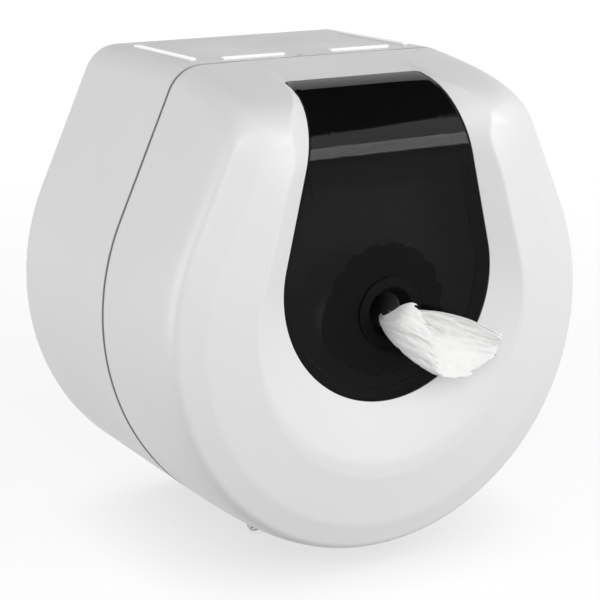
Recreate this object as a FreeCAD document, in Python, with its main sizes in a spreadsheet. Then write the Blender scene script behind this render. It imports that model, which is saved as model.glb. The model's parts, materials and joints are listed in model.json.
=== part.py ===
import FreeCAD, Part
import math
import os
import re
import Sketcher

# A wall-hung dispenser for a centre-feed roll of toilet tissue.
# Millimetres, +Z up, the front faces -Y. The origin is on the wall plane, at the centre of the case's round
# lower half and of its four wall screws. A depth is a distance from the wall.

SIZES = {
    # Case outline: a circle below, straight flanks that lean in above it, a flat top
    "body_radius": 110,
    "flank_angle": 24.5,
    "top_height": 111.4,
    "corner_radius": 17.6,
    "case_wall": 3,
    "back_wall": 3,
    "rear_rounding": 3,
    # Parting seam between housing and cover, with the housing's lip inside the cover
    "seam_depth": 89.8,
    "seam_gap": 0.8,
    "lip_root": 8,
    "lip_overlap": 3.5,
    "lip_wall": 2,
    "lip_clearance": 0.4,
    # Cover front: a crease inside the rounded edge, then a low crown up to the ridge
    "cover_depth": 66.4,
    "crease_inset": 17,
    "crease_drop": 27.8,
    "crease_corner": 21.5,
    "crown_rise": 3.3,
    "front_inset": 40,
    "front_drop": 51,
    "front_corner": 12,
    # Dish round the window, its floor bent back over the top of the cover
    "dish_depth": 6.1,
    "floor_bend": 33,
    "floor_bend_drop": 39.6,
    "top_slope": 12.7,
    "dish_radius": 69.5,
    "dish_centre": 6,
    "dish_split_corner": 3,
    "dish_fade_reach": 10.2,
    "dish_mouth": 6,
    # Window
    "window_radius": 54.3,
    "window_centre": 18.3,
    "window_angle": 13.1,
    "window_top_reach": 31.2,
    "window_corner": 6,
    "window_thickness": 2.5,
    "window_clearance": 0.25,
    "flange_margin": 9,
    "flange_thickness": 2,
    "flange_clearance": 0.1,
    "rim_width": 2,
    "backing_margin": 4,
    "backing_rise": 5,
    "window_screw_margin": 4.6,
    "window_screw_drop": 5.8,
    "window_screw_reach": 2.4,
    # Outlet in the window
    "outlet_drop": 13.3,
    "outlet_radius": 15,
    "outlet_fit": 0.2,
    "outlet_lip": 1.2,
    "outlet_lip_thickness": 0.6,
    "outlet_length": 12,
    "outlet_mouth": 11.5,
    "outlet_throat": 8,
    "outlet_throat_depth": 5,
    "outlet_funnel": 13.4,
    "ring_radius": 30,
    "ring_thickness": 4,
    "ring_scallop": 3.4,
    "ring_scallop_cut": 1.5,
    # Wall screws
    "wall_screw_inset": 40,
    "wall_screw_drop": 44,
    "wall_hole": 2.75,
    "wall_boss": 7,
    "wall_boss_rise": 2,
    # Roll and the two ribs it lies on
    "roll_gap": 0.9,
    "roll_bore": 24,
    "roll_front_gap": 11.1,
    "roll_clearance": 0.3,
    "rib_height": 17,
    "rib_place": 30,
    "rib_width": 3,
    # Strips on the flat top
    "strip_width": 2.6,
    "strip_rise": 1.1,
    "strip_seat": 0.6,
    "strip_fit": 0.05,
    "side_strip_inset": 1.8,
    "side_strip_rear": 21,
    "side_strip_setback": 10.8,
    "front_strip_setback": 7.3,
    "front_strip_inner": 12.6,
    "front_strip_gap": 13,
    # Hinge under the seam
    "hinge_setback": 5.8,
    "hinge_drop": 2,
    "lug_radius": 4.5,
    "lug_width": 4.2,
    "lug_outer": 32.8,
    "knuckle_radius": 4,
    "knuckle_width": 5,
    "knuckle_gap": 0.3,
    "knuckle_root": 10.5,
    "pin_radius": 1.5,
    "pin_fit": 0.05,
    "pin_head": 2.8,
    "pin_head_thickness": 1.2,
    "pin_tail": 2.6,
    "clip_radius": 3,
    "clip_thickness": 1,
    "clip_gap": 0.1,
    # Latch under the key hole
    "latch_place": -6.6,
    "latch_setback": 4,
    "key_hole": 2.1,
    "key_gap": 2,
    "nose_width": 6,
    "nose_length": 4,
    "nose_engagement": 4,
    "slider_rise": 3,
    "slider_height": 9,
    "slider_width": 10,
    "slider_front": 3.2,
    "slider_rear": 7.5,
    "slider_clearance": 0.3,
    "latch_travel": 4.8,
    "spring_bore": 3.2,
    "spring_bore_depth": 6,
    "spring_radius": 2.3,
    "spring_wire": 0.4,
    "spring_offset": 2,
    "spring_turns": 5,
    "spring_seat": 0.1,
    "guide_wall": 2,
    "guide_front": 1.7,
    "guide_cheek": 14.5,
    "guide_stop": 2,
    "guide_stop_thickness": 1.8,
    "guide_flange": 14,
    "guide_flange_thickness": 2.4,
    "guide_flange_drop": 5,
    "keeper_thickness": 2.5,
    "keeper_width": 18,
    "keeper_bar": 3,
    "keeper_slot_clearance": 0.5,
    "keeper_reach": 20.2,
    "keeper_screw_reach": 14.2,
    "latch_boss": 3.2,
    "latch_screw_spread": 5.5,
    # Small screws
    "screw_radius": 1.1,
    "screw_head": 2.2,
    "screw_head_height": 1.4,
    "screw_reach": 5.5,
    "screw_fit": 0.05,
    "screw_hole": 1.4,
    # Tissue that hangs out of the outlet
    "tail_clearance": 0.3,
    "tail_inside": 14,
    "tail_bunch": 6,
    "tail_start": -3,
    "tail_reach_side": 45,
    "tail_reach_front": 20,
    "tail_drop": 22,
    "tail_width": 30,
    "tail_thickness": 7,
    # How far a cut runs past the faces that it leaves
    "overrun": 4,
}

# Places that follow from the sizes
TOP_FLAT = ("((body_radius - corner_radius - (top_height - corner_radius) * sin(flank_angle * 1 deg))"
            " / cos(flank_angle * 1 deg))")
PLACES = {
    "crease_depth": "seam_depth + cover_depth",
    "front_depth": "crease_depth + crown_rise",
    "floor_depth": "front_depth - dish_depth",
    "floor_bend_height": "top_height - floor_bend_drop",
    "dish_start": "window_centre + window_radius * sin(window_angle * 1 deg)",
    "dish_split": "(dish_start + floor_bend_height) / 2",
    "dish_fade_depth": "seam_depth + dish_fade_reach",
    "window_top_depth": "seam_depth + window_top_reach",
    "window_screw_height": "floor_bend_height - window_screw_drop",
    "outlet_height": "window_centre - outlet_drop",
    "wall_screw_across": "2 * (body_radius - wall_screw_inset)",
    "wall_screw_up": "2 * (body_radius - wall_screw_drop)",
    "side_strip_place": f"{TOP_FLAT} - side_strip_inset",
    "side_strip_front": "seam_depth - side_strip_setback",
    "front_strip_depth": "seam_depth - front_strip_setback",
    "front_strip_outer": "side_strip_place - front_strip_gap",
    "hinge_depth": "seam_depth - hinge_setback",
    "hinge_height": "-body_radius - hinge_drop",
    "latch_depth": "seam_depth - latch_setback",
    "keeper_front": "seam_depth + keeper_reach",
    "keeper_screw_depth": "seam_depth + keeper_screw_reach",
    "nose_top": "top_height - case_wall - lip_clearance - lip_wall - key_gap",
    "slider_low": "nose_top - nose_engagement - slider_rise - slider_height",
    "guide_low": "slider_low - latch_travel - slider_clearance - guide_wall",
    "roll_top": "guide_low - roll_gap",
    "roll_bottom": "rib_height + case_wall - body_radius",
    "roll_radius": "(roll_top - roll_bottom) / 2",
    "roll_height": "(roll_top + roll_bottom) / 2",
    "roll_length": ("floor_depth + outlet_lip_thickness - outlet_length - roll_front_gap - back_wall"
                    " - roll_clearance"),
}

# Cover sections from seam to crease: shares of the depth, of the crease's inset and of its drop at the top
COVER_SHARES = [
    (0, 0, 0),
    (0.30, 0.02, 0.09),
    (0.47, 0.04, 0.178),
    (0.635, 0.065, 0.25),
    (0.768, 0.13, 0.35),
    (0.867, 0.28, 0.48),
    (0.934, 0.48, 0.63),
    (0.975, 0.71, 0.80),
    (1, 1, 1),
]
# Levels of the dish up the bend of its floor, as shares of the bend's angle
BEND_SHARES = [0, 0.2, 0.4, 0.6, 0.8, 1]
SCALLOPS = 16
WINDOW_SCREW_ANGLES = [-90, -40, -140, 5, 175]
# Tissue sections from the outlet to the free end: shares of the reach to the side, to the front, of the drop,
# of the width and of the thickness
TAIL_SHARES = [
    (0, 0.2, 0.05, 0.45, 1.2),
    (0.42, 0.65, 0.55, 1, 1.3),
    (1, 1, 1, 0.5, 0.6),
]
# Outline of a tissue section: shares of half its thickness and of half its width
TAIL_OUTLINE_SHARES = [(-1, 0.7), (0, 1), (1, 0.5), (1, -1), (-1, -0.8)]
SIDES = {"left": -1, "right": 1}

V = FreeCAD.Vector
ALONG_X = FreeCAD.Rotation(V(0, 1, 0), 90)
ALONG_Y = FreeCAD.Rotation(V(1, 0, 0), 90)
PLANE_TURNS = {
    "XY": FreeCAD.Rotation(),
    "XZ": ALONG_Y,
    "YZ": FreeCAD.Rotation(V(1, 1, 1), 120),
}
PLANE_NORMALS = {"XY": V(0, 0, 1), "XZ": V(0, -1, 0), "YZ": V(1, 0, 0)}

doc = FreeCAD.newDocument("dispenser")
sheet = doc.addObject("Spreadsheet::Sheet", "sheet")
for row, (alias, value) in enumerate(SIZES.items(), start=1):
    sheet.set(f"A{row}", alias)
    sheet.set(f"B{row}", str(value))
    sheet.setAlias(f"B{row}", alias)
doc.recompute()

pieces = []


def bound(text):
    """An expression in which every size is read from the sheet, and every place is spelled out in sizes."""
    def spelled(word):
        if word[0] in SIZES:
            return f"sheet.{word[0]}"
        return f"({bound(PLACES[word[0]])})" if word[0] in PLACES else word[0]
    return re.sub(r"[a-z_]+", spelled, str(text))


def size(text):
    """The present value of an expression of sizes."""
    return float(sheet.evalExpression(bound(text)))


def piece(obj, label):
    """Name a finished sub-part."""
    obj.Label = label
    pieces.append(obj)
    return obj


# Sketches

def sketch(owner, name, plane, along="0"):
    """An empty sketch parallel to a plane, moved along that plane's normal."""
    if owner is doc:
        made = doc.addObject("Sketcher::SketchObject", name)
        made.Placement = FreeCAD.Placement(PLANE_NORMALS[plane] * size(along), PLANE_TURNS[plane])
        axis, sign = {"XY": ("z", ""), "XZ": ("y", "-"), "YZ": ("x", "")}[plane]
        made.setExpression(f"Placement.Base.{axis}", bound(f"{sign}({along})"))
        return made
    made = owner.newObject("Sketcher::SketchObject", name)
    planes = {feature.Role: feature for feature in owner.Origin.OriginFeatures}
    made.AttachmentSupport = [(planes[f"{plane}_Plane"], "")]
    made.MapMode = "FlatFace"
    made.setExpression("AttachmentOffset.Base.z", bound(along))
    return made


def rule(made, kind, *where, text=None):
    """Add one constraint, bound to an expression where it has a size."""
    if text is None:
        return made.addConstraint(Sketcher.Constraint(kind, *where))
    value = size(text)
    if kind == "Angle":
        value = math.radians(value)
    index = made.addConstraint(Sketcher.Constraint(kind, *where, value))
    made.setExpression(f"Constraints[{index}]", bound(f"({text}) * 1 deg" if kind == "Angle" else text))
    return index


def pin_point(made, geometry, end, across, up):
    """Hold one point of a sketch at two expressions."""
    rule(made, "DistanceX", -1, 1, geometry, end, text=across)
    rule(made, "DistanceY", -1, 1, geometry, end, text=up)


def polygon(made, points):
    """A closed outline with straight sides."""
    spots = [V(size(across), size(up), 0) for across, up in points]
    start = made.GeometryCount
    for index, spot in enumerate(spots):
        made.addGeometry(Part.LineSegment(spot, spots[(index + 1) % len(spots)]), False)
    for index in range(len(spots)):
        rule(made, "Coincident", start + index, 2, start + (index + 1) % len(spots), 1)
        pin_point(made, start + index, 1, *points[index])
    return made


def rectangle(made, left, right, low, high):
    return polygon(made, [(left, low), (right, low), (right, high), (left, high)])


def circle(made, across, up, radius):
    index = made.addGeometry(Part.Circle(V(size(across), size(up), 0), V(0, 0, 1), size(radius)), False)
    pin_point(made, index, 3, across, up)
    rule(made, "Radius", index, text=radius)
    return made


def pear(made, radius, angle, top, corner, centre="0"):
    """A round lower half, straight flanks tangent to it that lean in, round corners and a flat top."""
    lean = math.radians(size(angle))
    big, small, high, middle = size(radius), size(corner), size(top), size(centre)
    flank = big - small - (high - small - middle) * math.sin(lean)
    right = V(flank / math.cos(lean), high - small, 0)
    left = V(-right.x, right.y, 0)
    low = V(0, middle, 0)
    towards = V(math.cos(lean), math.sin(lean), 0)
    mirrored = V(-towards.x, towards.y, 0)
    upright = V(0, 0, 1)
    made.addGeometry([
        Part.ArcOfCircle(Part.Circle(low, upright, big), math.pi - lean, 2 * math.pi + lean),
        Part.LineSegment(low + towards * big, right + towards * small),
        Part.ArcOfCircle(Part.Circle(right, upright, small), lean, math.pi / 2),
        Part.LineSegment(right + V(0, small, 0), left + V(0, small, 0)),
        Part.ArcOfCircle(Part.Circle(left, upright, small), math.pi / 2, math.pi - lean),
        Part.LineSegment(left + mirrored * small, low + mirrored * big),
    ], False)
    for index in range(6):
        rule(made, "Tangent", index, 2, (index + 1) % 6, 1)
    if centre == "0":
        rule(made, "Coincident", 0, 3, -1, 1)
    else:
        pin_point(made, 0, 3, "0", centre)
    rule(made, "Radius", 0, text=radius)
    rule(made, "Radius", 2, text=corner)
    rule(made, "Equal", 2, 4)
    rule(made, "Symmetric", 2, 3, 4, 3, -2)
    rule(made, "Angle", 1, text=f"90 + {angle}")
    rule(made, "DistanceY", -1, 1, 3, 1, text=top)
    return made


def case_outline(made, inset="0"):
    return pear(made, f"body_radius - ({inset})", "flank_angle", f"top_height - ({inset})",
                f"corner_radius - ({inset})")


def window_outline(made, margin):
    return pear(made, f"window_radius + ({margin})", "window_angle", "top_height + overrun",
                f"window_corner + ({margin})", "window_centre")


def dish_outline(made, margin):
    return pear(made, f"dish_radius + ({margin})", "window_angle", "top_height + overrun",
                f"window_corner + ({margin})", "dish_centre")


# Features of a body

def body(label):
    made = doc.addObject("PartDesign::Body", label)
    return piece(made, label)


def pad(owner, profile, length, middle=False):
    made = owner.newObject("PartDesign::Pad", f"{profile.Name}_pad")
    made.Profile = profile
    made.setExpression("Length", bound(length))
    made.Midplane = middle
    profile.Visibility = False
    doc.recompute()
    return made


def pocket(owner, profile, length, middle=False, reverse=False):
    before = owner.Shape.Volume
    made = owner.newObject("PartDesign::Pocket", f"{profile.Name}_pocket")
    made.Profile = profile
    made.setExpression("Length", bound(length))
    made.Midplane = middle
    made.Reversed = reverse
    doc.recompute()
    if owner.Shape.Volume >= before:
        raise RuntimeError(f"{made.Name} cuts nothing")
    return made


def mirror(owner, features):
    """Repeat features on the other side of the middle plane."""
    made = owner.newObject("PartDesign::Mirrored", f"{features[0].Name}_mirrored")
    planes = {feature.Role: feature for feature in owner.Origin.OriginFeatures}
    made.Originals = features
    made.MirrorPlane = (planes["YZ_Plane"], [""])
    owner.Tip = made
    doc.recompute()
    return made


def turned(owner, name, points, across="0", up="0"):
    """A solid of revolution about a front-to-back line, from points of depth and radius."""
    profile = sketch(owner, name, "YZ", across)
    polygon(profile, [(f"-({depth})", f"({up}) + {radius}") for depth, radius in points])
    axis = profile.addGeometry(Part.LineSegment(V(0, size(up), 0), V(-size("overrun"), size(up), 0)), True)
    pin_point(profile, axis, 1, "0", up)
    pin_point(profile, axis, 2, "-overrun", up)
    made = owner.newObject("PartDesign::Revolution", f"{name}_turn")
    made.Profile = profile
    made.ReferenceAxis = (profile, ["Axis0"])
    made.Angle = 360
    doc.recompute()
    return made


# Loose shapes and booleans

def loft(name, sections, ruled):
    made = doc.addObject("Part::Loft", name)
    made.Sections = sections
    made.Solid = True
    made.Ruled = ruled
    return made


def prism(name, profile, plane, length, middle=False):
    made = doc.addObject("Part::Extrusion", name)
    made.Base = profile
    made.DirMode = "Custom"
    made.Dir = PLANE_NORMALS[plane]
    made.Solid = True
    made.Symmetric = middle
    made.setExpression("LengthFwd", bound(length))
    return made


def cylinder(name, radius, length, spot, turn=None):
    """A round bar from a spot, upright or turned towards the front or the right."""
    made = doc.addObject("Part::Cylinder", name)
    made.setExpression("Radius", bound(radius))
    made.setExpression("Height", bound(length))
    made.Placement = FreeCAD.Placement(V(), turn or FreeCAD.Rotation())
    for axis, text in zip("xyz", spot):
        made.setExpression(f"Placement.Base.{axis}", bound(text))
    return made


def fuse(name, shapes):
    made = doc.addObject("Part::MultiFuse", name)
    made.Shapes = shapes
    return made


def common(name, shapes):
    made = doc.addObject("Part::MultiCommon", name)
    made.Shapes = shapes
    return made


def cut(name, base, tool):
    made = doc.addObject("Part::Cut", name)
    made.Base = base
    made.Tool = tool
    return made


# Sizes that several pieces share
HOUSING_FRONT = "(seam_depth - seam_gap / 2)"
COVER_REAR = "(seam_depth + seam_gap / 2)"
LIP_INSET = "(case_wall + lip_clearance)"
CEILING = "(top_height - case_wall)"
LIP_CEILING = f"({CEILING} - lip_clearance - lip_wall)"
KEEPER_LOW = "(nose_top - nose_engagement)"
KEEPER_TOP = f"({KEEPER_LOW} + keeper_thickness)"
SLIDER_TOP = f"({KEEPER_LOW} - slider_rise)"
SHELF_TOP = "(guide_low + guide_wall)"
GUIDE_REAR = "(latch_depth - slider_rear - slider_clearance)"
GUIDE_FLANGE_TOP = f"({CEILING} - guide_flange_drop)"
GUIDE_SCREW_DEPTH = f"({GUIDE_REAR} - guide_wall - guide_flange / 2)"
WINDOW_BACK = "(floor_depth - window_thickness)"
FLANGE_SEAT = "(floor_depth - case_wall)"
LUG_INNER = "(lug_outer - 2 * lug_width - 2 * knuckle_gap - knuckle_width)"
KNUCKLE_OUTER = "(lug_outer - lug_width - knuckle_gap)"
ROLL_REAR = "(back_wall + roll_clearance)"


def window_half_width(height):
    lean = "(window_angle * 1 deg)"
    return f"((window_radius - (({height}) - window_centre) * sin{lean}) / cos{lean})"


def strip_rectangles(grow):
    """The four strips on the top, as outlines across and in depth."""
    half = f"(strip_width / 2 + {grow})"
    for side, sign in SIDES.items():
        inner = f"{sign} * side_strip_place - {half}"
        outer = f"{sign} * side_strip_place + {half}"
        yield f"side_strip_{side}", (inner, outer, f"-side_strip_front - {grow}", f"-side_strip_rear + {grow}")
    for side, sign in SIDES.items():
        ends = sorted([f"{sign} * front_strip_inner", f"{sign} * front_strip_outer"], key=size)
        across = (f"{ends[0]} - {grow}", f"{ends[1]} + {grow}")
        yield f"front_strip_{side}", (*across, f"-front_strip_depth - {half}", f"-front_strip_depth + {half}")


def wall_screw_spots():
    return [(f"{x} * wall_screw_across / 2", f"{z} * wall_screw_up / 2") for x in (-1, 1) for z in (-1, 1)]


def window_screw_spots():
    """Screws round the window: on its lower arc, and one on each flank higher up."""
    reach = "(window_radius + window_screw_margin)"
    for angle in WINDOW_SCREW_ANGLES:
        yield f"{reach} * cos({angle} deg)", f"window_centre + {reach} * sin({angle} deg)"
    half = f"({window_half_width('window_screw_height')} + window_screw_margin / cos(window_angle * 1 deg))"
    for sign in SIDES.values():
        yield f"{sign} * {half}", "window_screw_height"


def latch_screw_spots():
    return [f"latch_place + {sign} * latch_screw_spread" for sign in SIDES.values()]


# Rear housing

def make_rear_housing():
    housing = body("rear_housing")
    shell = pad(housing, case_outline(sketch(housing, "case", "XZ")), HOUSING_FRONT)
    rear = [f"Edge{i}" for i, edge in enumerate(shell.Shape.Edges, 1) if edge.BoundBox.YMin > -size("overrun") / 2]
    rounding = housing.newObject("PartDesign::Fillet", "rear_edge")
    rounding.Base = (shell, rear)
    rounding.setExpression("Radius", bound("rear_rounding"))
    doc.recompute()

    lip_start = "(seam_depth - lip_root)"
    lip = case_outline(sketch(housing, "lip", "XZ", lip_start), LIP_INSET)
    pad(housing, lip, "lip_root + lip_overlap")
    mouth = case_outline(sketch(housing, "mouth", "XZ", "seam_depth + lip_overlap"), f"{LIP_INSET} + lip_wall")
    pocket(housing, mouth, "lip_root + lip_overlap")
    hollow = case_outline(sketch(housing, "hollow", "XZ", lip_start), "case_wall")
    pocket(housing, hollow, f"{lip_start} - back_wall")

    bosses = sketch(housing, "wall_bosses", "XZ", "back_wall")
    for across, up in wall_screw_spots():
        circle(bosses, across, up, "wall_boss")
    pad(housing, bosses, "wall_boss_rise")
    holes = sketch(housing, "wall_holes", "XZ", "back_wall + wall_boss_rise")
    for across, up in wall_screw_spots():
        circle(holes, across, up, "wall_hole")
    pocket(housing, holes, "back_wall + wall_boss_rise")

    ribs = sketch(housing, "roll_ribs", "XZ", "back_wall")
    inner = "(rib_place - rib_width / 2)"
    outer = "(rib_place + rib_width / 2)"
    rib_top = f"roll_height - sqrt((roll_radius + roll_clearance)^2 - {inner}^2)"
    rib_low = f"-sqrt((body_radius - case_wall / 2)^2 - {outer}^2)"
    rectangle(ribs, inner, outer, rib_low, rib_top)
    rib = pad(housing, ribs, f"{lip_start} - back_wall")
    mirror(housing, [rib])

    lugs = []
    for name, far in (("outer_lug", "lug_outer"), ("inner_lug", f"({LUG_INNER} + lug_width)")):
        near = f"({far} - lug_width)"
        lug = sketch(housing, name, "YZ", near)
        root = f"-sqrt((body_radius - case_wall / 2)^2 - {far}^2)"
        rectangle(lug, "-hinge_depth - lug_radius", "-hinge_depth + lug_radius", "hinge_height", root)
        lugs.append(pad(housing, lug, "lug_width"))
        eye = circle(sketch(housing, f"{name}_eye", "YZ", near), "-hinge_depth", "hinge_height", "lug_radius")
        lugs.append(pad(housing, eye, "lug_width"))
    mirror(housing, lugs)
    bore = circle(sketch(housing, "pin_bore", "YZ"), "-hinge_depth", "hinge_height", "pin_radius + pin_fit")
    pocket(housing, bore, "2 * (lug_outer + overrun)", middle=True)

    posts = sketch(housing, "latch_posts", "XY", GUIDE_FLANGE_TOP)
    for across in latch_screw_spots():
        circle(posts, across, f"-{GUIDE_SCREW_DEPTH}", "latch_boss")
    pad(housing, posts, "guide_flange_drop + case_wall / 2")
    pilots = sketch(housing, "latch_pilots", "XY", GUIDE_FLANGE_TOP)
    for across in latch_screw_spots():
        circle(pilots, across, f"-{GUIDE_SCREW_DEPTH}", "screw_radius + screw_fit")
    pocket(housing, pilots, "screw_reach", reverse=True)

    key = circle(sketch(housing, "key", "XY", "top_height"), "latch_place", "-latch_depth", "key_hole")
    pocket(housing, key, f"top_height - {LIP_CEILING} + overrun / 4")
    seats = sketch(housing, "strip_seats", "XY", "top_height")
    for _, outline in strip_rectangles("strip_fit"):
        rectangle(seats, *outline)
    pocket(housing, seats, "strip_seat")


def make_strips():
    for name, outline in strip_rectangles("0"):
        strip = body(name)
        profile = rectangle(sketch(strip, f"{name}_outline", "XY", "top_height - strip_seat"), *outline)
        pad(strip, profile, "strip_seat + strip_rise")


# Front cover

def cover_section(name, run, inset, drop, skin):
    """One outline of the cover's outside, or of its inside where skin is the wall."""
    depth = f"{COVER_REAR} + {run} * (crease_depth - {skin} - {COVER_REAR})"
    if run == 0 and skin != "0":
        depth = f"{COVER_REAR} - overrun / 4"
    made = sketch(doc, name, "XZ", depth)
    corner = f"corner_radius + {run} * (crease_corner - corner_radius) - {skin} * (1 - {run})"
    return pear(made, f"body_radius - {inset} * crease_inset - {skin}", "flank_angle",
                f"top_height - {drop} * crease_drop - {skin}", corner)


def cover_form(name, skin):
    """The cover as a full form: rounded walls up to the crease, then the low crown in front."""
    sections = [cover_section(f"{name}_{i}", *shares, skin) for i, shares in enumerate(COVER_SHARES)]
    crown = sketch(doc, f"{name}_crown", "XZ", f"front_depth - {skin}")
    pear(crown, f"body_radius - front_inset - {skin}", "flank_angle", f"top_height - front_drop - {skin}",
         "front_corner")
    walls = loft(f"{name}_walls", sections, True)
    front = loft(f"{name}_front", [sections[-1], crown], True)
    return fuse(f"{name}_form", [walls, front])


def floor_band(name, near, far):
    """Side view of a layer under the dish's floor: upright, bent back, then up the slope of the top."""
    made = sketch(doc, name, "YZ")
    pitch = math.radians(size("top_slope"))
    centre_depth = "(floor_depth - floor_bend)"
    centre = V(-size(centre_depth), size("floor_bend_height"), 0)
    low = "dish_centre - dish_radius - 2 * backing_margin"
    end = "(dish_fade_depth)"
    for offset in (near, far):
        radius = size(f"floor_bend - ({offset})")
        top = centre + V(-math.sin(pitch), math.cos(pitch), 0) * radius
        foot = centre - V(radius, 0, 0)
        run = -size(end) - top.x
        start = made.GeometryCount
        made.addGeometry([
            Part.LineSegment(V(foot.x, size(low), 0), foot),
            Part.ArcOfCircle(Part.Circle(centre, V(0, 0, 1), radius), math.pi / 2 + pitch, math.pi),
            Part.LineSegment(top, top + V(run, run * math.tan(pitch), 0)),
        ], False)
        rule(made, "Tangent", start, 2, start + 1, 2)
        rule(made, "Tangent", start + 1, 1, start + 2, 1)
        pin_point(made, start + 1, 3, f"-{centre_depth}", "floor_bend_height")
        rule(made, "Radius", start + 1, text=f"floor_bend - ({offset})")
        rule(made, "Vertical", start)
        rule(made, "DistanceY", -1, 1, start, 1, text=low)
        rule(made, "Angle", start + 2, text="top_slope")
        rule(made, "DistanceX", -1, 1, start + 2, 2, text=f"-{end}")
    spots = [made.getPoint(index, end) for index, end in ((0, 1), (3, 1), (2, 2), (5, 2))]
    made.addGeometry([Part.LineSegment(*spots[:2]), Part.LineSegment(*spots[2:])], False)
    for line, end, other, other_end in ((6, 1, 0, 1), (6, 2, 3, 1), (7, 1, 2, 2), (7, 2, 5, 2)):
        rule(made, "Coincident", line, end, other, other_end)
    return made


def floor_layer(name, near, far, margin, start, outline_of=window_outline):
    """A layer under the dish's floor, trimmed to the outline of the window or of the dish, and a margin."""
    length = "2 * (dish_radius + backing_margin + overrun)"
    band = prism(f"{name}_band", floor_band(f"{name}_side", near, far), "YZ", length, middle=True)
    outline = outline_of(sketch(doc, f"{name}_outline", "XZ", start), margin)
    block = prism(f"{name}_block", outline, "XZ", f"front_depth + overrun - ({start})")
    return common(f"{name}_layer", [band, block])


def dish_cutter():
    """What the dish takes off: a slanted cone below, and the leaning flanks that follow the bent floor."""
    mouth = "(front_depth + dish_mouth)"
    growth = f"(({mouth} - floor_depth) / (front_depth - floor_depth))"
    rear = sketch(doc, "dish_rear", "XZ", "floor_depth")
    pear(rear, "window_radius", "window_angle", "dish_split", "dish_split_corner", "window_centre")
    front = sketch(doc, "dish_front", "XZ", mouth)
    pear(front, f"window_radius + {growth} * (dish_radius - window_radius)", "window_angle", "dish_split",
         "dish_split_corner", f"window_centre + {growth} * (dish_centre - window_centre)")
    cone = loft("dish_cone", [rear, front], True)

    lean = "(window_angle * 1 deg)"
    spread = (f"(((dish_radius - window_radius) + (dish_centre - window_centre) * sin{lean})"
              f" / cos{lean} / (front_depth - floor_depth))")
    levels = [("dish_start", "floor_depth")]
    for share in BEND_SHARES:
        angle = f"({share} * (90 - top_slope) * 1 deg)"
        levels.append((f"floor_bend_height + floor_bend * sin{angle}",
                       f"floor_depth - floor_bend * (1 - cos{angle})"))
    top, depth = levels[-1]
    levels.append((f"{top} + ({depth} - dish_fade_depth) * tan(top_slope * 1 deg)", "dish_fade_depth"))
    sections = []
    for index, (height, depth) in enumerate(levels):
        half = window_half_width(height)
        wide = f"({half} + {spread} * ({mouth} - ({depth})))"
        level = sketch(doc, f"dish_level_{index}", "XY", height)
        polygon(level, [(f"-{half}", f"-({depth})"), (half, f"-({depth})"), (wide, f"-{mouth}"),
                        (f"-{wide}", f"-{mouth}")])
        sections.append(level)
    return fuse("dish_cutter", [cone, loft("dish_flanks", sections, True)])


def knuckle(side, sign):
    """A hinge knuckle under the cover, with its arm up into the cover's wall."""
    near = f"{KNUCKLE_OUTER} - knuckle_width" if sign > 0 else f"-{KNUCKLE_OUTER}"
    arm = sketch(doc, f"knuckle_arm_{side}", "YZ", near)
    root = f"-sqrt((body_radius - case_wall)^2 - ({KNUCKLE_OUTER} - knuckle_width)^2)"
    front = f"-{COVER_REAR} - knuckle_root"
    polygon(arm, [
        ("-hinge_depth", "hinge_height + knuckle_radius"),
        (f"-{COVER_REAR}", "hinge_height + knuckle_radius"),
        (f"-{COVER_REAR}", root),
        (front, root),
        (front, f"{root} - case_wall"),
        ("-hinge_depth", "hinge_height - knuckle_radius"),
    ])
    bar = prism(f"knuckle_bar_{side}", arm, "YZ", "knuckle_width")
    spot = (near, "-hinge_depth", "hinge_height")
    return [bar, cylinder(f"knuckle_eye_{side}", "knuckle_radius", "knuckle_width", spot, ALONG_X)]


def make_front_cover():
    outside = cover_form("outside", "0")
    shell = cut("cover_shell", outside, cover_form("inside", "case_wall"))
    backing_layer = floor_layer("backing", "-backing_rise", "case_wall", "backing_margin", "dish_fade_depth",
                                dish_outline)
    backing = common("cover_backing", [backing_layer, outside])
    solids = [shell, backing]
    for side, sign in SIDES.items():
        solids += knuckle(side, sign)
    for index, across in enumerate(latch_screw_spots()):
        spot = (across, "-keeper_screw_depth", KEEPER_TOP)
        post = cylinder(f"keeper_post_{index}", "latch_boss", f"{CEILING} - {KEEPER_TOP} - lip_clearance", spot)
        solids.append(post)
    whole = fuse("cover_whole", solids)
    opening_outline = window_outline(sketch(doc, "opening_outline", "XZ", "window_top_depth"), "0")
    lip_rear = f"({COVER_REAR} - overrun)"
    lip_outline = case_outline(sketch(doc, "lip_outline", "XZ", lip_rear), "case_wall")
    tools = [
        dish_cutter(),
        prism("lip_room", lip_outline, "XZ", f"seam_depth + lip_overlap + lip_clearance - {lip_rear}"),
        prism("opening", opening_outline, "XZ", "front_depth + overrun - window_top_depth"),
        cylinder("knuckle_bore", "pin_radius + pin_fit", "2 * (lug_outer + overrun)",
                 ("-lug_outer - overrun", "-hinge_depth", "hinge_height"), ALONG_X),
    ]
    for index, across in enumerate(latch_screw_spots()):
        spot = (across, "-keeper_screw_depth", KEEPER_TOP)
        tools.append(cylinder(f"keeper_pilot_{index}", "screw_radius + screw_fit", "screw_reach - keeper_thickness",
                              spot))
    for index, (across, up) in enumerate(window_screw_spots()):
        spot = (across, f"-{FLANGE_SEAT}", up)
        tools.append(cylinder(f"window_pilot_{index}", "screw_radius + screw_fit", "window_screw_reach", spot,
                              ALONG_Y))
    piece(cut("front_cover", whole, fuse("cover_tools", tools)), "front_cover")


# Window and outlet

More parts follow.
